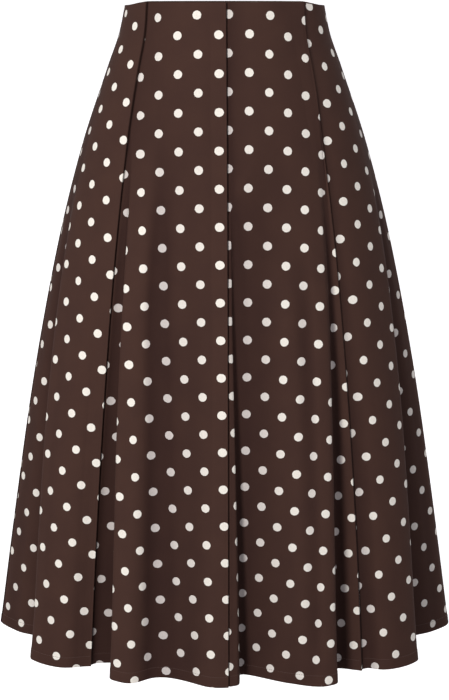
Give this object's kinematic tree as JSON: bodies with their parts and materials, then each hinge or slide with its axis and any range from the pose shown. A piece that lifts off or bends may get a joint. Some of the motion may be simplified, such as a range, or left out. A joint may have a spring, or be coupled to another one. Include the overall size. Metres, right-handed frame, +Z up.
{
  "type": "a-line midi skirt",
  "caption": "Hollow a-line midi skirt of seamed gores in dotted woven cloth that falls in soft folds, with a side seam pocket and a back zip.",
  "frame": {"origin": "the centre of the waist opening, level with the top edge, where the wearer holds the skirt up", "axes": "+Z up out of the waist; -Y towards the front; +X towards the wearer's left"},
  "size_m": [0.63, 0.412, 0.854],
  "materials": {
    "side_front_right": "matte crepe, dark brown with a staggered repeat of off-white dots",
    "centre_front_right": "matte crepe, dark brown with a staggered repeat of off-white dots",
    "centre_front_left": "matte crepe, dark brown with a staggered repeat of off-white dots",
    "side_front_left": "matte crepe, dark brown with a staggered repeat of off-white dots",
    "side_back_left": "matte crepe, dark brown with a staggered repeat of off-white dots",
    "centre_back_left": "matte crepe, dark brown with a staggered repeat of off-white dots",
    "centre_back_right": "matte crepe, dark brown with a staggered repeat of off-white dots",
    "side_back_right": "matte crepe, dark brown with a staggered repeat of off-white dots",
    "pocketing": "matte plain brown pocketing",
    "zip_tape": "woven dark brown tape with a nylon coil",
    "zip_metal": "satin brown enamel"
  },
  "bodies": {
    "skirt": {"side_front_right": "side_front_right", "centre_front_right": "centre_front_right", "centre_front_left": "centre_front_left", "side_front_left": "side_front_left", "side_back_left": "side_back_left", "centre_back_left": "centre_back_left", "centre_back_right": "centre_back_right", "side_back_right": "side_back_right", "pocket_bag_front": "pocketing", "pocket_bag_back": "pocketing", "zip_tape_left": "zip_tape", "zip_tape_right": "zip_tape", "zip_slider": "zip_metal"},
    "pull": {"zip_pull": "zip_metal"}
  },
  "joints": [
    {"name": "pull_swing", "type": "hinge", "parent": "skirt", "child": "pull", "pos_m": [-0.00001, 0.0976, -0.00947], "axis": [1, 0.0001, 0], "range_deg": [0, 165]}
  ]
}
